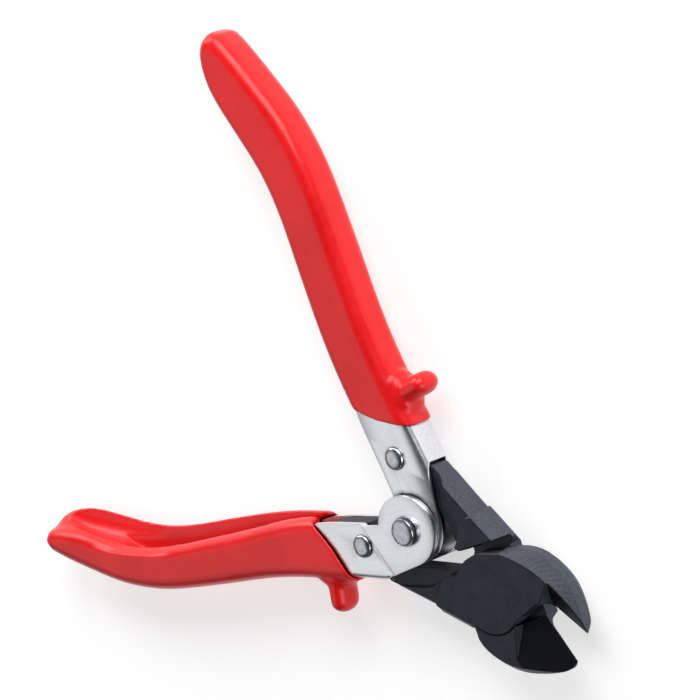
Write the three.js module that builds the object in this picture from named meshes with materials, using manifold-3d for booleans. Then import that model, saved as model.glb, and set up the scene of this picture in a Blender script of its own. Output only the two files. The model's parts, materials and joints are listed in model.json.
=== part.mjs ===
// Compound-lever diagonal cutting pliers.
//
// Millimetres, +Z up. The pliers lie flat: X is the tool axis, pointing at the blades, Y runs
// across the handles and Z through the thickness. The origin is the centre of the rear face of the
// handle rivet, which is the lowest point.
// The tool is drawn open. Two folded-steel handles cross at the handle rivet, each handle pulls
// the tail of one jaw through a tail rivet, and the two jaws turn on each other at the jaw pin.

import * as THREE from 'three';
import { mergeVertices } from 'three/addons/utils/BufferGeometryUtils.js';
import Module from 'manifold-3d';

const wasm = await Module();
wasm.setup();

// ---------------------------------------------------------------- driving dimensions

// linkage, tool open
const TAIL_ARM = 18.7;                  // handle rivet to tail rivet
const TAIL_HALF_ANGLE = 50;             // tail rivet off the tool axis, degrees
const JAW_PIVOT_X = 30.5;               // handle rivet to jaw pin
const HANDLE_ANGLE = 145.7;             // direction of a handle's long axis, degrees
const HANDLE_SWING = 27.65;             // each handle, open to shut, degrees
const JAW_SWING = 9.5;                  // each jaw, open to shut, degrees

// thickness
const SHEET = 1.5;                      // handle steel
const CHANNEL = 9.2;                    // folded handle, outside
const TANG = 6.0;                       // jaw tail, inside the channel
const TAIL = 8.2;                       // jaw tail, outside the channel
const HEAD = 9.2;                       // jaw head
const GRIP = 11.8;                      // dipped grip
const WASHER = 0.8;                     // hub washer
const SLIDE_GAP = 0.05;                 // between faces that slide on each other

// handles, along (u) and outward from (n) the long axis
const HUB_RADIUS = 9.4;
const WEB_END = 13.1;                   // the folded back starts here
const HANDLE_END = 120;
const FOLD_RADIUS = 1.9;                // outside of the fold
const JOGGLE = 13.4;                    // handle rivet to the crease of the stepped plate
const JOGGLE_SLOPE = 2.2;
const JOGGLE_ANGLE = 34.8;              // crease normal off the long axis, degrees

// rivets
const HUB_SHANK = 2.9;
const HUB_FRONT_HEAD = { radius: 3.6, rim: 1.3, height: 1.9, flat: 0.6 };
const HUB_REAR_HEAD = { radius: 3.6, rim: 1.3, height: 1.9, flat: 2.4 };
const TAIL_SHANK = 2.2;
const TAIL_RIVET_HEAD = { radius: 3.0, rim: 0.3, height: 1.1, flat: 0.6 };
const RUNNING = 0.05;                   // radial clearance of a pivot
const OPEN_PIVOT = 0.7;                 // radial clearance of the lower tail hole
const SPACER_RADIUS = 4.0;

// jaws, about the jaw pin
const DISC_RADIUS = 9.5;
const DISC_SHIFT = { x: -1.7, y: 1.9 }; // disc centre off the jaw pin, away from the blade
const DISC_GAP = 0.35;
const PIN_RADIUS = 4.0;
const PIN_COVER = 1.7;                  // steel left over the blind end of the pin
const CUT_OFFSET = 6.7;                 // cutting line above the jaw pin
const CUT_TILT = -12.3;                 // cutting line off the tool axis, blades shut, degrees
const BLADE_GAP = 0.04;                 // half the gap left between the shut blades
const EDGE_LAND = 0.12;                 // half thickness of a cutting edge
const BEVEL_DROP = 3.1;                 // how far the outer bevels go down from each face
const BODY_BEVEL = 2.6;                 // bevel width along the body
const LAP_BEVEL = 2.2;                  // bevel width on the lap side of a blade
const TAIL_CHAMFER = 1.1;
const TAIL_RELIEF = 0.35;               // between the thick tail and the swinging handle

// grip
const GRIP_SKIN = 1.3;                  // plastic over the back of the channel
const GRIP_CLEARANCE = 0.3;
const GRIP_ROUND = 3.8;
const CORE_START = 37;                  // plastic fills the channel from here on
const GUARD = { u: 31.9, radius: 3.1, top: 24.4, flatten: 1.45 };
const GUARD_FOOT = { n: 14.4, along: 6.6, high: 3.2, half: 5.0 };
const GROOVE = 4.4;                     // slot left in the open side of the channel
const GROOVE_DEPTH = 8;
const GROOVE_START = 34;
const GROOVE_END = 131;
const GROOVE_RUN_OUT = 28;              // length over which the slot gets shallower
const SCOOP = { u: 112, n: 1.2, z: 0.6, along: 22, deep: 6.5, half: 4.6, lean: -8 };

// ---------------------------------------------------------------- small helpers

const STRAIGHT = 0.01;                  // an outline point closer than this to a straight run is dropped
const radians = THREE.MathUtils.degToRad;
const steel = (color, roughness) => new THREE.MeshStandardMaterial({ color, roughness, metalness: 1 });

const NICKEL = steel(0xd9dce0, 0.25);
const RIVET = steel(0xb9bcc2, 0.3);
const BLACK_STEEL = new THREE.MeshStandardMaterial({ color: 0x2b2e36, roughness: 0.5, metalness: 0.8 });
const RED_PVC = new THREE.MeshStandardMaterial({ color: 0xd8161c, roughness: 0.25, metalness: 0 });

const solidFrom = (positions, triangles) => new wasm.Manifold(new wasm.Mesh({
  numProp: 3,
  vertProperties: new Float32Array(positions),
  triVerts: new Uint32Array(triangles),
}));

function toSolid(geometry) {
  geometry.deleteAttribute('normal');
  geometry.deleteAttribute('uv');
  const merged = mergeVertices(geometry, 1e-4);
  const corners = [];
  for (let i = 0; i < merged.index.count; i += 3) {
    const [a, b, c] = merged.index.array.slice(i, i + 3);
    if (a !== b && b !== c && c !== a) corners.push(a, b, c);
  }
  return solidFrom(merged.attributes.position.array, corners);
}

function toMesh(name, solid, material) {
  const { vertProperties, triVerts } = solid.getMesh();
  const geometry = new THREE.BufferGeometry();
  geometry.setAttribute('position', new THREE.BufferAttribute(new Float32Array(vertProperties), 3));
  geometry.setIndex(new THREE.BufferAttribute(new Uint32Array(triVerts), 1));
  geometry.computeVertexNormals();
  const mesh = new THREE.Mesh(geometry, material);
  mesh.name = name;
  return mesh;
}

const point = (x, y) => new THREE.Vector2(x, y);
const points = (...pairs) => pairs.map(([x, y]) => point(x, y));
const smooth = (controls, count) => new THREE.SplineCurve(controls).getPoints(count);

function arc(centre, radius, from, to, count) {
  return Array.from({ length: count + 1 }, (_, i) => {
    const angle = radians(from + (to - from) * i / count);
    return point(centre.x + radius * Math.cos(angle), centre.y + radius * Math.sin(angle));
  });
}

// The outline without the points that sit on a straight run or on top of each other.
function sparse(outline) {
  const kept = [];
  for (const [i, here] of outline.entries()) {
    const before = kept.at(-1) ?? outline.at(-1);
    const span = outline[(i + 1) % outline.length].clone().sub(before);
    const step = here.clone().sub(before);
    if (Math.abs(step.cross(span)) > STRAIGHT * span.length() && step.length() > STRAIGHT) kept.push(here);
  }
  return kept;
}

// A flat plate with the given outline, from z0 to z1.
function plate(outline, z0, z1) {
  const shape = new THREE.Shape(sparse(outline));
  const geometry = new THREE.ExtrudeGeometry(shape, { depth: z1 - z0, bevelEnabled: false });
  return toSolid(geometry.translate(0, 0, z0));
}

// A closed outline moved sideways, outward when the distance is positive.
function offset(outline, distance) {
  const turn = THREE.ShapeUtils.isClockWise(outline) ? -1 : 1;
  return outline.map((here, i) => {
    const before = outline.at(i - 1);
    const after = outline[(i + 1) % outline.length];
    const a = here.clone().sub(before).normalize();
    const b = after.clone().sub(here).normalize();
    const normal = point(a.y + b.y, -a.x - b.x).normalize();
    const stretch = 1 / Math.max(0.5, normal.x * a.y - normal.y * a.x);
    return here.clone().addScaledVector(normal, turn * distance * stretch);
  });
}

// A solid through level rings with equally many points each, from the lowest to the highest. The
// middle ring is the fullest, so it decides how the two caps are divided.
function loft(rings) {
  const fullest = rings[rings.length / 2].outline;
  const count = fullest.length;
  const positions = rings.flatMap(({ outline, z }) => outline.flatMap(p => [p.x, p.y, z]));
  const cap = THREE.ShapeUtils.triangulateShape(fullest, []);
  const top = (rings.length - 1) * count;
  const triangles = cap.flatMap(([a, b, c]) => [c, b, a, top + a, top + b, top + c]);
  for (let layer = 0; layer < rings.length - 1; layer++) {
    for (let i = 0; i < count; i++) {
      const a = layer * count + i;
      const b = layer * count + (i + 1) % count;
      triangles.push(a, b, b + count, a, b + count, a + count);
    }
  }
  return solidFrom(positions, triangles);
}

// A plate centred on z = 0 whose edges are rounded inward by the given size.
function roundedPlate(outline, thickness, size, segments, rise = size) {
  const plan = sparse(outline);
  if (THREE.ShapeUtils.isClockWise(plan)) plan.reverse();
  const quarter = Array.from({ length: segments + 1 }, (_, i) => {
    const turn = Math.PI / 2 * i / segments;
    const inset = size * (1 - Math.cos(turn));
    return { outline: offset(plan, -inset), z: thickness / 2 - rise * (1 - Math.sin(turn)) };
  });
  const lower = quarter.map(({ outline: ring, z }) => ({ outline: ring, z: -z })).reverse();
  return loft([...lower, ...quarter]);
}

// A bar with the given profile (across, z), running along a direction in the plan.
function bar(profile, origin, direction, from, to) {
  const section = new THREE.Shape(profile);
  const geometry = new THREE.ExtrudeGeometry(section, { depth: to - from, bevelEnabled: false });
  const along = new THREE.Vector3(Math.cos(direction), Math.sin(direction), 0);
  const across = new THREE.Vector3(-along.y, along.x, 0);
  const up = new THREE.Vector3(0, 0, 1);
  const frame = new THREE.Matrix4().makeBasis(across, up, along);
  frame.setPosition(origin.x + along.x * from, origin.y + along.y * from, 0);
  return toSolid(geometry.applyMatrix4(frame));
}

// A round rod or hole on a vertical axis.
function rod(centre, radius, z0, z1, sides = 48) {
  const geometry = new THREE.CylinderGeometry(radius, radius, z1 - z0, sides);
  return toSolid(geometry.rotateX(Math.PI / 2).translate(centre.x, centre.y, (z0 + z1) / 2));
}

// ---------------------------------------------------------------- linkage places

const ORIGIN = point(0, 0);
const tailAngle = radians(TAIL_HALF_ANGLE);
const handleAngle = radians(HANDLE_ANGLE);
const tailLean = Math.PI - tailAngle - handleAngle;       // tail rivet off the handle's long axis
const tail = point(TAIL_ARM * Math.cos(tailLean), -TAIL_ARM * Math.sin(tailLean));
const tailFromPin = point(-JAW_PIVOT_X - TAIL_ARM * Math.cos(tailAngle), -TAIL_ARM * Math.sin(tailAngle));

// A place on the lower handle (u, n) as seen from the jaw pin.
function fromHandle(u, n) {
  const x = u * Math.cos(handleAngle) + n * Math.sin(handleAngle);
  const y = -u * Math.sin(handleAngle) + n * Math.cos(handleAngle);
  return point(x - JAW_PIVOT_X, y);
}

// ---------------------------------------------------------------- handles

const channelFace = CHANNEL / 2;
const channelInner = channelFace - SHEET;
const washerFace = channelFace + SLIDE_GAP + WASHER;
const discInner = washerFace + SLIDE_GAP;
const discFace = discInner + SHEET;

// The folded back and the open side of the channel: straight near the hub, bowed to fill a palm.
// The open side steps back where the grip starts, to leave room for its lips. One plate is as wide as
// the bow, the other is cut down in it; the two handles are the same blank turned over.
const handleBack = points([WEB_END, 14.4], [36, 13.5], [53, 14.0], [72, 16.4], [90, 18.4], [101, 18.4],
  [111, 17.0], [HANDLE_END, 13.4]);
const wideFront = points([HANDLE_END, 7.4], [112, 7.6], [103, 6.9], [95, 6.5], [85, 5.5], [72, 3.6],
  [58, 1.7], [47, 0.7], [39, 0.5], [34, -0.5], [27, -0.9], [16, -0.9]);
const narrowFront = points([HANDLE_END, 7.4], [112, 10.0], [103, 10.9], [95, 10.6], [85, 9.4], [72, 7.0],
  [58, 4.2], [47, 1.9], [39, 0.6], [34, -0.5], [27, -0.9], [16, -0.9]);

const beyond = 30;                      // past the end of any handle outline

// The outline of a handle plate: round the hub, out along the back and home along the open side.
function plateOutline(front) {
  const corner = point(WEB_END - 0.4, handleBack[0].y - 0.3);
  const reach = Math.acos(HUB_RADIUS / corner.length());
  const leave = THREE.MathUtils.radToDeg(corner.angle() + reach);
  const hub = arc(ORIGIN, HUB_RADIUS, 353, leave, 30);
  return [...smooth(front, 24), ...hub, corner, ...smooth(handleBack, 24)];
}

// Everything inside the rounded fold of the channel, grown by a clearance.
function insideFold(clearance) {
  const back = smooth(handleBack, 24).map(p => point(p.x, p.y + clearance));
  const mask = [point(-beyond, -beyond), point(-beyond, back[0].y), ...back,
    point(HANDLE_END + beyond, back.at(-1).y), point(HANDLE_END + beyond, -beyond)];
  return roundedPlate(mask, CHANNEL + 2 * clearance, FOLD_RADIUS + clearance, 4);
}

// The part of a solid above the wide lip joined to that lip, which is cut from another solid.
function withWideLip(narrow, wide) {
  const level = -GROOVE / 2;
  return narrow.trimByPlane([0, 0, 1], level).add(wide.trimByPlane([0, 0, -1], -level));
}

// The folded channel: two plates joined by the back.
function channel() {
  const webInner = smooth(handleBack, 24).map(p => point(p.x, p.y - SHEET));
  const hollow = [point(-beyond, -beyond), point(-beyond, beyond), point(WEB_END, beyond), ...webInner,
    point(HANDLE_END + beyond, webInner.at(-1).y), point(HANDLE_END + beyond, -beyond)];
  const whole = front => plate(plateOutline(front), -channelFace, channelFace);
  return withWideLip(whole(narrowFront), whole(wideFront))
    .intersect(insideFold(0))
    .subtract(plate(hollow, -channelInner, channelInner));
}

function rivetHoles(solid) {
  return solid
    .subtract(rod(ORIGIN, HUB_SHANK + RUNNING, -GRIP, GRIP))
    .subtract(rod(point(tail.x, tail.y), TAIL_SHANK + RUNNING, -GRIP, GRIP));
}

// Plates that step outward over the hub of the other handle, on both faces.
function steppedPlates(outline) {
  const lean = radians(JOGGLE_ANGLE);
  const top = SHEET * Math.tan(Math.atan2(discFace - channelFace, JOGGLE_SLOPE) / 2);
  const far = JOGGLE + 2;
  const low = JOGGLE - JOGGLE_SLOPE;
  const section = points([far, channelInner], [JOGGLE, channelInner], [low, discInner], [-far, discInner],
    [-far, discFace], [low + top, discFace], [JOGGLE + top, channelFace], [far, channelFace]);
  const front = bar(section, ORIGIN, lean - Math.PI / 2, -30, 30).intersect(plate(outline, 0, GRIP));
  return front.add(front.mirror([0, 0, 1]));
}

function armOnly(solid) {
  const lean = radians(JOGGLE_ANGLE);
  const near = JOGGLE + 0.8;
  const hubSide = points([-60, -GRIP], [near, -GRIP], [near, GRIP], [-60, GRIP]);
  return solid.subtract(bar(hubSide, ORIGIN, lean - Math.PI / 2, -60, 60));
}

const upperHandle = rivetHoles(channel());
const lowerHandle = rivetHoles(armOnly(channel()).add(steppedPlates(plateOutline(wideFront))));

// ---------------------------------------------------------------- grips

const skin = handleBack.slice(0, -1).map(p => point(p.x, p.y + GRIP_SKIN));
const gripBack = [...skin, ...points([121, 15.4], [131, 12.1], [136.1, 9.9])];
const wideLip = points([137.9, 7.0], [136.9, 3.4], [133.6, 0.8], [127.5, -0.8], [121, -0.7], [112, 0.9],
  [103, 2.6], [95, 3.3], [85, 2.7], [72, 0.8], [58, -1.1], [46, -2.1], [33, -2.2], [16, -2.2]);
const narrowLip = points([137.9, 7.0], [136.8, 4.6], [133.4, 3.5], [127.5, 3.5], [121, 4.6], [116, 6.2],
  [110, 7.6], [103, 8.1], [95, 7.9], [85, 6.6], [75, 4.8], [64, 2.8], [53, 0.5], [43, -1.4], [33, -2.2],
  [16, -2.2]);

// A ball stretched along u, n and z.
function ball(along, high, half) {
  return new THREE.SphereGeometry(1, 32, 20).scale(along, high, half);
}

// The thumb guard: a flattened finger that stands on a low foot.
function guard() {
  const length = GUARD.top - 2 * GUARD.radius - GRIP_ROUND;
  const finger = new THREE.CapsuleGeometry(GUARD.radius, length, 8, 32);
  finger.scale(1, 1, GUARD.flatten).translate(GUARD.u, GUARD.top - GUARD.radius - length / 2, 0);
  const foot = ball(GUARD_FOOT.along, GUARD_FOOT.high, GUARD_FOOT.half);
  return toSolid(finger).add(toSolid(foot.translate(GUARD.u, GUARD_FOOT.n, 0)));
}

// The grip before any cut: rounded all round, with a slope from the wide lip up to the narrow one.
function gripBody() {
  const roundSteps = 5;
  const slopeSteps = 5;
  const level = GRIP / 2 - GRIP_ROUND;
  const wide = new THREE.SplineCurve(wideLip).getSpacedPoints(38);
  const narrow = new THREE.SplineCurve(narrowLip).getSpacedPoints(38);
  const outline = z => {
    const share = THREE.MathUtils.smoothstep(z, -level, level);
    return [...smooth(gripBack, 30), ...wide.map((p, i) => p.clone().lerp(narrow[i], share))].reverse();
  };
  const rounding = side => Array.from({ length: roundSteps + 1 }, (_, i) => {
    const turn = Math.PI / 2 * i / roundSteps;
    const inset = GRIP_ROUND * (1 - Math.cos(turn));
    const z = side * (level + GRIP_ROUND * Math.sin(turn));
    return { outline: offset(outline(side * level), -inset), z };
  });
  const slope = Array.from({ length: slopeSteps - 1 }, (_, i) => {
    const z = level * (2 * (i + 1) / slopeSteps - 1);
    return { outline: outline(z), z };
  });
  return loft([...rounding(-1).reverse(), ...slope, ...rounding(1)]);
}

function gripShell() {
  const mouthTrim = points([22.6, 40], [22.8, 15.6], [24.6, 12.0], [28.6, 5.6], [35.2, -2.2], [37, -20],
    [-20, -20], [-20, 40]);
  return gripBody().add(guard()).subtract(plate(mouthTrim, -GRIP, GRIP));
}

// The pocket that the folded handle fills, with the plastic core between its plates left standing.
function handlePocket() {
  const back = smooth(handleBack, 24);
  const face = channelFace + GRIP_CLEARANCE;
  const whole = front => plate(offset([...back, ...smooth(front, 24)], GRIP_CLEARANCE), -face, face);
  const coreFace = channelInner - GRIP_CLEARANCE;
  const coreBack = back.filter(p => p.x > CORE_START).map(p => point(p.x, p.y - SHEET - GRIP_CLEARANCE));
  const core = [point(CORE_START, -beyond), ...coreBack, point(HANDLE_END + beyond, coreBack.at(-1).y),
    point(HANDLE_END + beyond, -beyond)];
  return withWideLip(whole(narrowFront), whole(wideFront))
    .intersect(insideFold(GRIP_CLEARANCE))
    .subtract(plate(core, -coreFace, coreFace));
}

// The slot between the lips of the grip, which gets shallower and wider towards the nose.
function openGroove() {
  const front = smooth(wideLip, 38).filter(p => p.x > GROOVE_START && p.x < GROOVE_END);
  const fullUntil = GROOVE_END - GROOVE_RUN_OUT;
  const depth = u => GROOVE_DEPTH * (1 - THREE.MathUtils.smoothstep(u, fullUntil, GROOVE_END));
  const floor = front.map(p => point(p.x, p.y + depth(p.x))).reverse();
  const mouth = points([GROOVE_START - 1, -beyond], [GROOVE_START - 1, GROOVE_DEPTH]);
  const outside = front.map(p => point(p.x, p.y - GRIP));
  const scoop = ball(SCOOP.along, SCOOP.deep, SCOOP.half).rotateZ(radians(SCOOP.lean));
  return plate([...outside, ...mouth, ...floor], -GROOVE / 2, GROOVE / 2)
    .add(toSolid(scoop.translate(SCOOP.u, SCOOP.n, SCOOP.z)));
}

const grip = gripShell().subtract(handlePocket()).subtract(openGroove());

// ---------------------------------------------------------------- jaws

const headFace = HEAD / 2;
const tangFace = TANG / 2;

// Head outlines seen from the jaw pin, for a jaw whose tail runs to the lower handle.
const bodyEdge = points([-14.6, -20], [-15.2, -14.9], [-17.0, -13.0], [-17.0, -6.6], [-16.2, -5.5],
  [-14.9, -4.7], [-13.5, -3.4], [-13.2, 0.6], [-12.6, 2.7], [-11.3, 5.0], [-9.8, 6.9], [-7.0, 8.8],
  [-4.3, 10.6], [-3.6, 24]);
const tailEdge = points([-3.6, -11.3], [-4.6, -12.4], [-5.0, -20]);
const discCentre = point(DISC_SHIFT.x, -DISC_SHIFT.y);
const recessCentre = point(DISC_SHIFT.x, DISC_SHIFT.y);

// Tail: outside edge, shoulder at the folded back, round the tail rivet and back along the inside.
function tailOutline() {
  const around = arc(tailFromPin, 7.3, -56, -112, 8);
  return [
    point(-13.0, -14.4),
    point(-17.7, -15.4),
    point(-25.5, -17.2),
    point(-31.6, -18.6),
    fromHandle(11.7, 14.5),
    fromHandle(12.2, 14.1),
    fromHandle(12.4, 13.5),
    fromHandle(12.4, 12.3),
    ...around,
    fromHandle(30.0, 6.0),
    fromHandle(31.3, 3.0),
    fromHandle(30.2, -0.1),
    fromHandle(27.0, -0.8),
    point(-44.2, -8.2),
    point(-30.0, -11.3),
    point(-26.7, -9.9),
    point(-16.4, -3.6),
    point(-15.2, -3.6),
    point(-12.5, -6.5),
  ];
}

// The thick part of the tail, chamfered outside and clear of the handle's plates from open to shut.
function tailBar(outline) {
  const half = TAIL / 2;
  const edge = half - TAIL_CHAMFER;
  const section = points([0, -edge], [TAIL_CHAMFER, -half], [40, -half], [40, half], [TAIL_CHAMFER, half],
    [0, edge]);
  const heel = outline[3];
  const along = outline[0].clone().sub(heel);
  const plates = offset(plateOutline(wideFront).map(p => fromHandle(p.x, p.y)), TAIL_RELIEF);
  const { x, y } = tailFromPin;
  const swinging = plate(plates, -HEAD, HEAD).translate([-x, -y, 0]);
  const steps = 6;
  return Array.from({ length: steps + 1 }, (_, i) => (JAW_SWING - HANDLE_SWING) * i / steps).reduce(
    (rest, turn) => rest.subtract(swinging.rotate([0, 0, turn]).translate([x, y, 0])),
    plate(outline, -half, half).intersect(bar(section, heel, along.angle(), -5, 40)),
  );
}

// The whole tail, cut away round the disc of the other jaw.
function jawTail() {
  const outline = tailOutline();
  return plate(outline, -tangFace, tangFace)
    .add(tailBar(outline))
    .subtract(rod(ORIGIN, DISC_RADIUS + 3.2, -HEAD, HEAD));
}

// Half of the head that carries the disc: from the raised step round to the blade.
function discHalf(cut) {
  const around = arc(discCentre, DISC_RADIUS, cut.leave, -98, 26);
  const outline = [...bodyEdge, point(40, 24), cut(40, 0), cut(cut.discStart, 0), ...around, ...tailEdge];
  return plate(outline, SLIDE_GAP, headFace);
}

// Half of the head that lies under the other jaw's disc: tail block on one side, blade on the other.
function lapHalf(cut) {
  const tailBlock = points([-14.6, -20], [-15.2, -14.9], [-17.0, -13.0], [-17.0, -9.4], [-16.8, -3.6],
    [-15.4, -3.6], [-11.9, -7.6], [-4.4, -16.2], [-4.4, -20]);
  const recess = arc(recessCentre, DISC_RADIUS + DISC_GAP, cut.enter, 98, 20);
  const blade = [point(-2.8, 24), point(40, 24), cut(40, 0), cut(cut.lapStart, 0), ...recess];
  return plate(tailBlock, -headFace, 0.2).add(plate(blade, -headFace, 0.2));
}

// Everything the head may fill. The body has plain bevels; a blade is bevelled from its widest line
// up to the ridge on its disc side, and more steeply on its lap side.
function headEnvelope({ back, ridge }) {
  const body = points([60, -40], [6, -40], [-2.6, -14.4], [-20, -17.9], [-30, -17.9], [-30, 16], [-8, 15],
    [2, 40], [60, 40]);
  const level = (controls, z) => ({
    outline: [...smooth(controls, 24), point(30, -60), point(-60, -60), point(-60, 12)].reverse(),
    z,
  });
  const shoulder = headFace - BEVEL_DROP;
  const widest = level(back, shoulder);
  const lap = { outline: offset(widest.outline, -LAP_BEVEL), z: -headFace };
  const blade = loft([lap, { ...widest, z: -shoulder }, widest, level(ridge, headFace)]);
  return roundedPlate(body, HEAD, BODY_BEVEL, 1, BEVEL_DROP).intersect(blade);
}

// The hollow-ground bevel on one face of a blade: a slope up from the cutting edge that ends in
// a curved run-out at a line across the blade.
function grind(cut, slope, line, lineAngle, runOut, face) {
  const rise = Math.tan(radians(slope));
  const wide = 30;
  const above = points([-4, EDGE_LAND - 4 * rise], [wide, EDGE_LAND + wide * rise], [wide, 40], [-4, 40]);
  const slopeBar = bar(above, cut(0, 0), cut.angle, -5, 60);
  const curve = Array.from({ length: 9 }, (_, i) => {
    const t = i / 8;
    return point(-runOut * t, headFace * (1 - Math.sqrt(1 - (1 - t) ** 2)) - 0.02);
  });
  const scoop = [point(2, 40), point(0, headFace + 0.01), ...curve, point(-runOut, -1), point(-60, -1),
    point(-60, 40)];
  const runOutBar = bar(scoop, line, lineAngle, -30, 30);
  const ground = slopeBar.intersect(runOutBar);
  return face > 0 ? ground : ground.mirror([0, 0, 1]);
}

// The cutting line of a jaw: a place s along it and n above it.
function cuttingLine({ angle, offsetFromPin, ...ends }) {
  const a = radians(angle);
  const cut = (s, n) => point(s * Math.cos(a) - (offsetFromPin + n) * Math.sin(a),
    s * Math.sin(a) + (offsetFromPin + n) * Math.cos(a));
  return Object.assign(cut, { angle: a, ...ends });
}

function jaw({ cut, blade, slope, discGrind, lapGrind, tailClearance, pinHole }) {
  return discHalf(cut)
    .add(lapHalf(cut))
    .intersect(headEnvelope(blade))
    .add(jawTail())
    .subtract(grind(cut, slope, ...discGrind, 1))
    .subtract(grind(cut, slope, ...lapGrind, -1))
    .subtract(rod(tailFromPin, TAIL_SHANK + tailClearance, -HEAD, HEAD))
    .subtract(rod(ORIGIN, PIN_RADIUS + RUNNING, ...pinHole));
}

// The blade above the cutting line, whose tail runs to the lower handle.
const upperJaw = jaw({
  cut: cuttingLine({
    angle: CUT_TILT + JAW_SWING,
    offsetFromPin: CUT_OFFSET + BLADE_GAP,
    discStart: 11.2,
    lapStart: 11.6,
    enter: 43,
    leave: -6,
  }),
  blade: {
    back: points([-6.5, 10.2], [-3.2, 12.6], [1.0, 15.4], [4.9, 16.8], [8.4, 17.0], [12.6, 16.4],
      [16.1, 15.2], [19.5, 13.1], [22.6, 10.4], [24.8, 7.7], [25.9, 5.2], [26.0, 3.0]),
    ridge: points([-7.5, 9.6], [-4.3, 10.8], [-1.2, 11.7], [2.1, 12.4], [5.4, 13.0], [8.8, 13.2],
      [12.6, 12.8], [16.2, 11.3], [19.2, 9.0], [21.6, 6.6], [23.2, 4.2], [23.8, 2.0]),
  },
  slope: 31,
  discGrind: [point(12.1, 9), radians(93), 3.2],
  lapGrind: [point(12.1, 9), radians(72), 3.2],
  tailClearance: OPEN_PIVOT,
  pinHole: [-HEAD, headFace - PIN_COVER],
});

// The blade below the cutting line. It is drawn turned over, so that its tail also runs down.
const lowerJaw = jaw({
  cut: cuttingLine({
    angle: JAW_SWING - CUT_TILT,
    offsetFromPin: BLADE_GAP - CUT_OFFSET,
    discStart: 11.2,
    lapStart: 11.2,
    enter: 12,
    leave: -35,
  }),
  blade: {
    back: points([-4.5, 13.4], [-2.8, 14.9], [-1.2, 16.2], [2.1, 17.3], [6.9, 17.4], [11.9, 16.2],
      [15.7, 14.4], [20.0, 11.4], [23.6, 8.3], [25.5, 6.0], [26.1, 3.4], [25.6, 0]),
    ridge: points([-7.5, 10.2], [-4.3, 11.5], [-1.2, 12.5], [2.1, 13.1], [6.1, 13.3], [10.0, 12.7],
      [13.4, 11.2], [16.8, 8.9], [19.8, 6.4], [22.0, 4.2], [23.4, 1.8], [23.6, -0.6]),
  },
  slope: 19,
  discGrind: [point(12.2, 2), radians(100), 4.5],
  lapGrind: [point(10.4, 8), radians(64), 4.5],
  tailClearance: RUNNING,
  pinHole: [-HEAD, HEAD],
});

// ---------------------------------------------------------------- rivets, pin, washers, spacer

// A turned piece given by its half profile, from the axis round to the axis.
function turned(profile, sides = 48) {
  const lathe = new THREE.LatheGeometry(profile, sides);
  return toSolid(lathe.rotateX(Math.PI / 2));
}

// A rivet head from its rim to the axis: a straight rim, a rounded shoulder and a flat centre.
function head({ radius, rim, height, flat }, seat) {
  const steps = 6;
  const shoulder = Array.from({ length: steps + 1 }, (_, i) => {
    const turn = Math.PI / 2 * i / steps;
    return point(flat + (radius - flat) * Math.cos(turn), seat + rim + (height - rim) * Math.sin(turn));
  });
  return [point(radius, seat), ...shoulder, point(0, seat + height)];
}

// A set rivet: its front head, its shank and its rear head.
function rivet(shank, seat, front, rear) {
  const lower = [...head(rear, seat), point(shank, seat)].map(p => point(p.x, -p.y));
  const axisEnd = lower.findIndex(p => p.x === 0);
  const upward = [...lower.slice(0, axisEnd + 1).reverse(), lower.at(-1)];
  return turned([...upward, point(shank, seat), ...head(front, seat)]);
}

const hubSeat = discFace + SLIDE_GAP / 2;
const hubRivet = rivet(HUB_SHANK, hubSeat, HUB_FRONT_HEAD, HUB_REAR_HEAD);
const tailRivet = rivet(TAIL_SHANK, channelFace + SLIDE_GAP / 2, TAIL_RIVET_HEAD, TAIL_RIVET_HEAD);

const ring = (outer, inner, thickness) =>
  rod(ORIGIN, outer, -thickness / 2, thickness / 2).subtract(rod(ORIGIN, inner, -thickness, thickness));
const hubWasher = ring(HUB_RADIUS - 0.2, HUB_SHANK + RUNNING, WASHER);
const hubSpacer = ring(SPACER_RADIUS, HUB_SHANK + RUNNING, 2 * (channelInner - SLIDE_GAP));

const pinTop = headFace - PIN_COVER - 0.1;
const pinFoot = -headFace + 0.02;
const jawPin = turned(points([0, pinFoot], [PIN_RADIUS - 0.3, pinFoot], [PIN_RADIUS, pinFoot + 0.3],
  [PIN_RADIUS, pinTop - 0.4], [PIN_RADIUS - 0.4, pinTop], [0, pinTop]));

// ---------------------------------------------------------------- assembly

const group = new THREE.Group();

// Handle pieces are drawn with the back on +n. The lower handle takes them with n turned outward,
// the upper one takes them turned over.
function addHandle(side, name, solids) {
  const handle = new THREE.Group();
  handle.rotation.z = -side * handleAngle;
  for (const [piece, solid, material] of solids) {
    const shaped = side < 0 ? solid.rotate([180, 0, 0]) : solid;
    handle.add(toMesh(`${name}_${piece}`, shaped, material));
  }
  group.add(handle);
}

addHandle(-1, 'upper', [['handle', upperHandle, NICKEL], ['grip', grip, RED_PVC]]);
addHandle(1, 'lower', [['handle', lowerHandle, NICKEL], ['grip', grip, RED_PVC]]);

function place(name, solid, material, x, y, z) {
  const mesh = toMesh(name, solid, material);
  mesh.position.set(x, y, z);
  group.add(mesh);
  return mesh;
}

place('upper_jaw', upperJaw, BLACK_STEEL, JAW_PIVOT_X, 0, 0);
place('lower_jaw', lowerJaw, BLACK_STEEL, JAW_PIVOT_X, 0, 0).rotation.x = Math.PI;
place('jaw_pin', jawPin, BLACK_STEEL, JAW_PIVOT_X, 0, 0);

const tailX = JAW_PIVOT_X + tailFromPin.x;
place('upper_tail_rivet', tailRivet, RIVET, tailX, -tailFromPin.y, 0);
place('lower_tail_rivet', tailRivet, RIVET, tailX, tailFromPin.y, 0);

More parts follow.
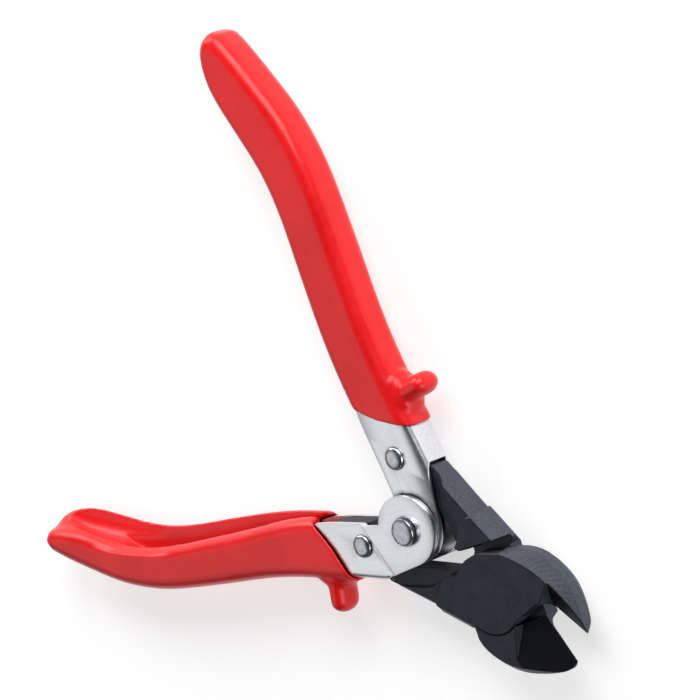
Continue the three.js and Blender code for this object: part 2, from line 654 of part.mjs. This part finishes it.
const washerHeight = channelFace + SLIDE_GAP + WASHER / 2;
place('handle_rivet', hubRivet, RIVET, 0, 0, 0);
place('hub_spacer', hubSpacer, NICKEL, 0, 0, 0);
place('front_hub_washer', hubWasher, NICKEL, 0, 0, washerHeight);
place('rear_hub_washer', hubWasher, NICKEL, 0, 0, -washerHeight);

// Everything is drawn about its middle plane; the origin is on the rear head of the handle rivet.
group.position.z = hubSeat + HUB_REAR_HEAD.height;

export default group;
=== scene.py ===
"""The look of the compound-lever diagonal cutting pliers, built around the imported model."""

import json
import math

import bmesh
import bpy
from mathutils import Matrix, Vector


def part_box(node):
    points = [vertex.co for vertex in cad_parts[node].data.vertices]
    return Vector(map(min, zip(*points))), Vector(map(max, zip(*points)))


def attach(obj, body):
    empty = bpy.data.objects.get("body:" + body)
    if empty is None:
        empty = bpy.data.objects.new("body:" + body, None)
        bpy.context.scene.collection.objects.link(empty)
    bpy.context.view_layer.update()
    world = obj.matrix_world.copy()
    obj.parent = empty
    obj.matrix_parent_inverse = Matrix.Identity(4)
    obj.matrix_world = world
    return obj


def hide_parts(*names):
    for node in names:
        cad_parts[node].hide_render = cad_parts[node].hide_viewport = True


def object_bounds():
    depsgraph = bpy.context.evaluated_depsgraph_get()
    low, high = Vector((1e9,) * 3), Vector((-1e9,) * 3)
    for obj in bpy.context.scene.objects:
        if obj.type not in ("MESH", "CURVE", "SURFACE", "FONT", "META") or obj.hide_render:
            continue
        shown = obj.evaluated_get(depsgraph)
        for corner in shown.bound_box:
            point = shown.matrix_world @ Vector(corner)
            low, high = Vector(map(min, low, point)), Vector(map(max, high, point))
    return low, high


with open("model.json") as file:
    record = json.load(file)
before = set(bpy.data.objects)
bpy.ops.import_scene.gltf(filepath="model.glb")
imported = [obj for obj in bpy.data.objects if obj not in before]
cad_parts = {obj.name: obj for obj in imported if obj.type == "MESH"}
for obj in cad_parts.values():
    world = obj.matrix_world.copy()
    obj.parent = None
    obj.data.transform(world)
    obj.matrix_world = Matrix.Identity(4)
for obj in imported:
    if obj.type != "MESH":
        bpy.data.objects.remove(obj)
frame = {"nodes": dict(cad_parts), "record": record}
cad_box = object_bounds()

MM = 0.001

# ---------------------------------------------------------------- places from the frame


def middle(node):
    low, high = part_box(node)
    return (low + high) / 2


hub = middle("handle_rivet")

# The camera looks down on the front face from the blades' side. Angles are measured from the tool's
# own axes, distances are in metres and the aim is measured from the hub.
CAMERA_AZIMUTH = math.radians(48.75)
CAMERA_TILT = math.radians(44.46)
CAMERA_ROLL = math.radians(19.82)
CAMERA_DISTANCE = 1.25
SEEN_WIDTH = 0.1795
AIM_RIGHT = -0.0188
AIM_DOWN = -0.0447

plan = Vector((math.cos(CAMERA_AZIMUTH), math.sin(CAMERA_AZIMUTH), 0))
side = Vector((math.sin(CAMERA_AZIMUTH), -math.cos(CAMERA_AZIMUTH), 0))
lean = plan * math.cos(CAMERA_TILT) - Vector((0, 0, math.sin(CAMERA_TILT)))
image_right = lean * math.cos(CAMERA_ROLL) + side * math.sin(CAMERA_ROLL)
image_down = side * math.cos(CAMERA_ROLL) - lean * math.sin(CAMERA_ROLL)
to_camera = plan * math.sin(CAMERA_TILT) + Vector((0, 0, math.cos(CAMERA_TILT)))

# ---------------------------------------------------------------- materials


# cosines between the rounded and the true surface: no edge near, and on an edge
SAME_NORMAL = 0.985
TURNED_NORMAL = 0.86


class Shader:
    """A new material with short ways to add nodes. A value that is a socket is linked."""

    def __init__(self, name):
        self.material = bpy.data.materials.new(name)
        self.material.use_nodes = True
        self.tree = self.material.node_tree
        self.surface = self.tree.nodes["Principled BSDF"]
        self.place = self.add("TexCoord").outputs["Object"]

    def feed(self, socket, value):
        if isinstance(value, bpy.types.NodeSocket):
            self.tree.links.new(value, socket)
        else:
            socket.default_value = value

    def add(self, kind, inputs=None, **settings):
        node = self.tree.nodes.new("ShaderNode" + kind)
        for key, value in settings.items():
            setattr(node, key, value)
        for key, value in (inputs or {}).items():
            self.feed(node.inputs[key], value)
        return node

    def finish(self, **inputs):
        for key, value in inputs.items():
            self.feed(self.surface.inputs[key.replace("_", " ")], value)
        return self.material

    def noise(self, size, detail=2.0, roughness=0.5, place=None):
        """Noise whose features are about `size` metres wide."""
        inputs = {
            "Vector": place or self.place,
            "Scale": 1 / size,
            "Detail": detail,
            "Roughness": roughness,
        }
        return self.add("TexNoise", inputs).outputs["Fac"]

    def spread(self, value, low, high, start=0.0, end=1.0):
        """`value` moved from the range start..end to the range low..high, and kept in it."""
        inputs = {"Value": value, "From Min": start, "From Max": end, "To Min": low, "To Max": high}
        return self.add("MapRange", inputs).outputs["Result"]

    def math(self, operation, first, second=0.0):
        return self.add("Math", {0: first, 1: second}, operation=operation).outputs["Value"]

    def mix(self, factor, first, second):
        """A colour between two colours, each a socket or red, green and blue."""
        node = self.add("Mix", {"Factor": factor}, data_type="RGBA")
        for socket, colour in ((node.inputs[6], first), (node.inputs[7], second)):
            self.feed(socket, (*colour, 1) if isinstance(colour, tuple) else colour)
        return node.outputs[2]

    def shades(self, value, start, end, first, second):
        """A colour that goes from the first to the second as `value` goes from start to end."""
        return self.mix(self.spread(value, 0, 1, start, end), first, second)

    def bump(self, height, distance, strength=1.0, normal=None):
        inputs = {"Height": height, "Distance": distance, "Strength": strength}
        node = self.add("Bump", inputs)
        if normal:
            self.feed(node.inputs["Normal"], normal)
        return node.outputs["Normal"]

    def stretched(self, angle, length, width):
        """Coordinates in which noise is drawn out along a direction in the plan."""
        turned = self.add("Mapping", {"Vector": self.place, "Rotation": (0, 0, -angle)})
        squeezed = {"Vector": turned.outputs["Vector"], "Scale": (width / length, 1, 1)}
        return self.add("Mapping", squeezed).outputs["Vector"]

    def open_air(self, reach):
        """1 on open faces, towards 0 in gaps narrower than about `reach` metres."""
        return self.add("AmbientOcclusion", {"Distance": reach}).outputs["AO"]

    def edges(self, radius):
        """1 within about `radius` metres of a sharp edge, 0 away from it."""
        rounded = self.add("Bevel", {"Radius": radius}, samples=8).outputs["Normal"]
        true = self.add("NewGeometry").outputs["Normal"]
        agreement = self.add("VectorMath", {0: rounded, 1: true}, operation="DOT_PRODUCT")
        return self.spread(agreement.outputs["Value"], 0, 1, start=SAME_NORMAL, end=TURNED_NORMAL)


def red_pvc():
    """Dipped plastic: deep red, glossy, slightly wavy, with fine pale flecks."""
    s = Shader("red_pvc_dipped")
    deep = (0.7, 0.004, 0.006)
    bright = (0.8, 0.008, 0.011)
    pale = (0.9, 0.16, 0.15)
    colour = s.shades(s.noise(18 * MM, detail=3), 0.35, 0.65, deep, bright)
    fleck = s.spread(s.noise(0.35 * MM, detail=1), 0, 0.35, 0.68, 0.76)
    colour = s.mix(fleck, colour, pale)
    waves = s.bump(s.noise(9 * MM, detail=1), 0.12 * MM)
    pores = s.bump(s.noise(0.7 * MM, detail=3), 0.012 * MM, normal=waves)
    return s.finish(
        Base_Color=colour,
        Roughness=s.spread(s.noise(2.5 * MM, detail=4), 0.3, 0.42, 0.3, 0.7),
        Specular_IOR_Level=0.3,
        Coat_Weight=0.15,
        Coat_Roughness=0.14,
        Sheen_Weight=0.22,
        Sheen_Roughness=0.35,
        Normal=pores,
    )


def nickel(name, angle):
    """Nickel plate on rolled sheet: bright, with a faint grain along the piece, and painted shade that
    turns it nearly black in the gaps between parts.
    """
    s = Shader(name)
    grain = s.noise(0.22 * MM, detail=3, place=s.stretched(angle, length=14, width=1))
    mottle = s.noise(0.9 * MM, detail=4, roughness=0.6)
    tone = s.math("ADD", s.math("MULTIPLY", grain, 0.5), s.math("MULTIPLY", mottle, 0.5))
    dull = (0.72, 0.735, 0.765)
    bright = (0.84, 0.855, 0.88)
    # painted shade: nearly black, laid on the plate where ambient occlusion finds gaps narrower than 6
    # mm
    painted_gap_shade = (0.02, 0.021, 0.025)
    plate = s.shades(tone, 0.35, 0.65, dull, bright)
    colour = s.shades(s.open_air(6 * MM), 0.42, 0.78, painted_gap_shade, plate)
    normal = s.bump(grain, 0.0015 * MM)
    normal = s.bump(mottle, 0.003 * MM, normal=normal)
    return s.finish(
        Base_Color=colour,
        Metallic=1.0,
        Roughness=s.spread(mottle, 0.28, 0.36, 0.3, 0.7),
        Normal=normal,
    )


def rivet_steel():
    """Set rivet heads: polished and slightly hammered, in two tones of steel."""
    s = Shader("rivet_steel_polished")
    dents = s.noise(1.8 * MM, detail=2)
    grain = s.noise(0.3 * MM, detail=3)
    colour = s.shades(dents, 0.35, 0.65, (0.4, 0.42, 0.46), (0.58, 0.6, 0.64))
    normal = s.bump(dents, 0.09 * MM)
    normal = s.bump(grain, 0.004 * MM, normal=normal)
    return s.finish(
        Base_Color=colour,
        Metallic=1.0,
        Roughness=s.spread(grain, 0.24, 0.36, 0.3, 0.7),
        Normal=normal,
    )


def black_steel():
    """Blackened forging. The flat faces are satin, the hollow-ground bevels are nearly black, and
    the steep sides have a grainy scale, painted lighter grey as painted light where they face away
    from the tool axis and nearly black as painted shade where they face towards it. The zones
    follow how steep the surface is. Edges are worn in patches."""
    s = Shader("black_steel_forged")
    grain = s.noise(0.3 * MM, detail=5, roughness=0.7)
    patch = s.noise(4 * MM, detail=4)
    cloud = s.math("ADD", s.math("MULTIPLY", patch, 0.4), s.math("MULTIPLY", grain, 0.6))

    facing = s.add("SeparateXYZ", {0: s.add("TexCoord").outputs["Normal"]})
    spot = s.add("SeparateXYZ", {0: s.place})
    level = s.math("ABSOLUTE", facing.outputs["Z"])
    outward = s.math("MULTIPLY", facing.outputs["Y"], s.math("SIGN", spot.outputs["Y"]))
    is_ground = s.spread(level, 0, 1, 0.80, 0.85)
    is_face = s.spread(level, 0, 1, 0.975, 0.995)

    # painted light and shade: the grainy grey marks the lit outward sides, and sides facing the tool
    # axis get a nearly black painted shade
    scale_grain_painted_lit = s.shades(grain, 0.36, 0.66, (0.026, 0.031, 0.044), (0.085, 0.095, 0.122))
    sides = s.shades(outward, 0.05, 0.3, (0.01, 0.012, 0.018), scale_grain_painted_lit)
    satin = s.shades(cloud, 0.38, 0.62, (0.004, 0.0055, 0.011), (0.018, 0.022, 0.035))
    steel = s.mix(is_ground, sides, (0.003, 0.0035, 0.005))
    steel = s.mix(is_face, steel, satin)

    rubbed = s.math("MULTIPLY", s.spread(grain, 0.15, 0.9, 0.35, 0.6), s.spread(patch, 0.2, 1, 0.4, 0.6))
    worn = s.math("MULTIPLY", s.edges(0.35 * MM), rubbed)
    return s.finish(
        Base_Color=s.mix(worn, steel, (0.2, 0.21, 0.24)),
        Metallic=s.spread(worn, 0.0, 0.8),
        Specular_IOR_Level=s.spread(is_face, 0.3, 0.24),
        Roughness=s.math("ADD", s.spread(is_ground, 0.55, 0.36), s.spread(patch, -0.03, 0.06)),
        Normal=s.bump(grain, 0.04 * MM, strength=s.spread(is_ground, 1.0, 0.3)),
    )


# ---------------------------------------------------------------- pieces

WELD = 0.002 * MM
FLAT = math.radians(0.6)
SHARP = math.radians(30)

GRIP_VOXEL = 0.4 * MM
GRIP_ROUNDS = 26
JAW_VOXEL = 0.16 * MM
JAW_ROUNDS = 6
HANDLE_EDGE = 0.18 * MM
TURNED_EDGE = 0.08 * MM
RIVET_EDGE = 0.06 * MM


def piece_from(mesh, name, node, body, material):
    """A new piece that stands for a CAD node, with one material."""
    made = bpy.data.objects.new(name, mesh)
    bpy.context.scene.collection.objects.link(made)
    mesh.materials.clear()
    mesh.materials.append(material)
    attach(made, body)
    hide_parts(node)
    return made


def welded(node):
    """The CAD node's surface as one closed mesh."""
    work = bmesh.new()
    work.from_mesh(frame["nodes"][node].data)
    bmesh.ops.remove_doubles(work, verts=work.verts, dist=WELD)
    mesh = bpy.data.meshes.new(node + "_welded")
    work.to_mesh(mesh)
    work.free()
    if "custom_normal" in mesh.attributes:
        mesh.attributes.remove(mesh.attributes["custom_normal"])
    return mesh


def modified(mesh, *modifiers):
    """The mesh after the given modifiers, each a type and its settings."""
    carrier = bpy.data.objects.new("carrier", mesh)
    bpy.context.scene.collection.objects.link(carrier)
    for kind, settings in modifiers:
        modifier = carrier.modifiers.new(kind.lower(), kind)
        for key, value in settings.items():
            setattr(modifier, key, value)
    evaluated = carrier.evaluated_get(bpy.context.evaluated_depsgraph_get())
    result = bpy.data.meshes.new_from_object(evaluated)
    bpy.data.objects.remove(carrier)
    return result


def soft(node, voxel, rounds):
    """The CAD shape remeshed evenly and smoothed so many times, which works its edges round."""
    mesh = modified(
        welded(node),
        ("REMESH", {"mode": "VOXEL", "voxel_size": voxel, "adaptivity": 0.0}),
        ("SMOOTH", {"factor": 0.5, "iterations": rounds}),
    )
    mesh.shade_smooth()
    return mesh


def eased(node, width, angle=35):
    """The CAD shape with each edge that turns by more than `angle` degrees broken by a bevel."""
    work = bmesh.new()
    work.from_mesh(welded(node))
    bmesh.ops.dissolve_limit(work, angle_limit=FLAT, verts=work.verts, edges=work.edges)
    mesh = bpy.data.meshes.new(node + "_eased")
    work.to_mesh(mesh)
    work.free()
    bevel = {
        "width": width,
        "segments": 2,
        "limit_method": "ANGLE",
        "angle_limit": math.radians(angle),
        "use_clamp_overlap": False,
        "miter_outer": "MITER_ARC",
    }
    mesh = modified(mesh, ("BEVEL", bevel), ("TRIANGULATE", {}))
    mesh.shade_smooth()
    mesh.set_sharp_from_angle(angle=SHARP)
    return mesh


bodies = frame["record"]["behaviour"]["bodies"]
body_of = {node: body for body, nodes in bodies.items() for node in nodes}

RED = red_pvc()
RIVET = rivet_steel()
BLACK = black_steel()


def along(node):
    """The direction of a handle in the plan, from the hub to the middle of its grip."""
    reach = middle(node) - hub
    return math.atan2(reach.y, reach.x)


UPPER_NICKEL = nickel("nickel_upper", along("upper_grip"))
LOWER_NICKEL = nickel("nickel_lower", along("lower_grip"))


def add(name, node, mesh, material):
    return piece_from(mesh, name, node, body_of[node], material)


add("upper_grip_dipped", "upper_grip", soft("upper_grip", GRIP_VOXEL, GRIP_ROUNDS), RED)
add("lower_grip_dipped", "lower_grip", soft("lower_grip", GRIP_VOXEL, GRIP_ROUNDS), RED)
add("upper_jaw_forged", "upper_jaw", soft("upper_jaw", JAW_VOXEL, JAW_ROUNDS), BLACK)
add("lower_jaw_forged", "lower_jaw", soft("lower_jaw", JAW_VOXEL, JAW_ROUNDS), BLACK)
add("upper_handle_folded", "upper_handle", eased("upper_handle", HANDLE_EDGE), UPPER_NICKEL)
add("lower_handle_folded", "lower_handle", eased("lower_handle", HANDLE_EDGE), LOWER_NICKEL)
for washer in ("hub_spacer", "front_hub_washer", "rear_hub_washer"):
    add(washer + "_turned", washer, eased(washer, TURNED_EDGE), LOWER_NICKEL)
for rivet in ("handle_rivet", "upper_tail_rivet", "lower_tail_rivet"):
    add(rivet + "_set", rivet, eased(rivet, RIVET_EDGE, angle=50), RIVET)
add("jaw_pin_ground", "jaw_pin", eased("jaw_pin", TURNED_EDGE, angle=60), BLACK)

# ---------------------------------------------------------------- stage, light and camera

FLOOR_HALF = 3
FLOOR_GAP = 0.05 * MM
LIGHT_DISTANCE = 0.9


def floor():
    """A pale floor just under the tool, glowing a little so that it stays white."""
    work = bmesh.new()
    bmesh.ops.create_grid(work, x_segments=1, y_segments=1, size=FLOOR_HALF)
    mesh = bpy.data.meshes.new("floor")
    work.to_mesh(mesh)
    work.free()
    made = bpy.data.objects.new("floor", mesh)
    bpy.context.scene.collection.objects.link(made)
    made.location = (0, 0, cad_box[0].z - FLOOR_GAP)
    s = Shader("floor_pale")
    tone = s.mix(s.noise(0.4, detail=2), (0.58, 0.58, 0.585), (0.62, 0.62, 0.62))
    pale = s.finish(Base_Color=tone, Roughness=0.9, Emission_Color=(1, 1, 1, 1), Emission_Strength=0.6)
    mesh.materials.append(pale)


def softbox(name, direction, width, height, brightness):
    """A large area light that faces the hub. Its brightness stays the same at any size."""
    light = bpy.data.lights.new(name, "AREA")
    light.shape = "RECTANGLE"
    light.size = width
    light.size_y = height
    light.energy = brightness * 4 * width * height
    made = bpy.data.objects.new(name, light)
    bpy.context.scene.collection.objects.link(made)
    towards = Vector(direction).normalized()
    made.location = hub + towards * LIGHT_DISTANCE
    made.rotation_mode = "QUATERNION"
    made.rotation_quaternion = (-towards).to_track_quat("-Z", "Y")


def studio():
    """A surround that is pale at the horizon and dark overhead and where the camera stands."""
    world = bpy.data.worlds.new("studio")
    bpy.context.scene.world = world
    world.use_nodes = True
    tree = world.node_tree
    direction = tree.nodes.new("ShaderNodeTexCoord").outputs["Generated"]

    def shade(towards, start, end, low, high):
        """low..high as a direction turns towards `towards`, its cosine going from start to end."""
        nearness = tree.nodes.new("ShaderNodeVectorMath")
        nearness.operation = "DOT_PRODUCT"
        tree.links.new(direction, nearness.inputs[0])
        nearness.inputs[1].default_value = towards
        ramp = tree.nodes.new("ShaderNodeMapRange")
        ramp.interpolation_type = "SMOOTHSTEP"
        tree.links.new(nearness.outputs["Value"], ramp.inputs["Value"])
        for key, value in (("From Min", start), ("From Max", end), ("To Min", low), ("To Max", high)):
            ramp.inputs[key].default_value = value
        return ramp.outputs["Result"]

    both = tree.nodes.new("ShaderNodeMath")
    both.operation = "MULTIPLY"
    tree.links.new(shade((0, 0, 1), 0.3, 0.85, 1.0, 0.4), both.inputs[0])
    tree.links.new(shade(to_camera, 0.82, 0.97, 1.0, 0.05), both.inputs[1])
    tree.links.new(both.outputs["Value"], tree.nodes["Background"].inputs["Strength"])


def camera():
    """A long lens that sees SEEN_WIDTH across at the hub's distance."""
    lens = bpy.data.cameras.new("camera")
    lens.lens = lens.sensor_width * CAMERA_DISTANCE / SEEN_WIDTH
    lens.clip_start = 0.01
    lens.clip_end = 20
    made = bpy.data.objects.new("camera", lens)
    bpy.context.scene.collection.objects.link(made)
    aim = hub + image_right * AIM_RIGHT + image_down * AIM_DOWN
    axes = Matrix((image_right, -image_down, to_camera)).transposed()
    made.matrix_world = Matrix.Translation(aim + to_camera * CAMERA_DISTANCE) @ axes.to_4x4()
    bpy.context.scene.camera = made


floor()
softbox("key", (-0.2, 0.86, 0.5), width=0.7, height=0.5, brightness=5.1)
softbox("blade_side", (0.9, 0.3, 0.4), width=0.5, height=0.4, brightness=3.5)
softbox("far_panel", (-0.46, -0.53, 0.72), width=0.75, height=0.7, brightness=0.75)
softbox("grip_side", (-0.95, 0.3, 0.32), width=0.6, height=0.35, brightness=4.5)
studio()
camera()
bpy.context.scene.view_settings.view_transform = "Standard"
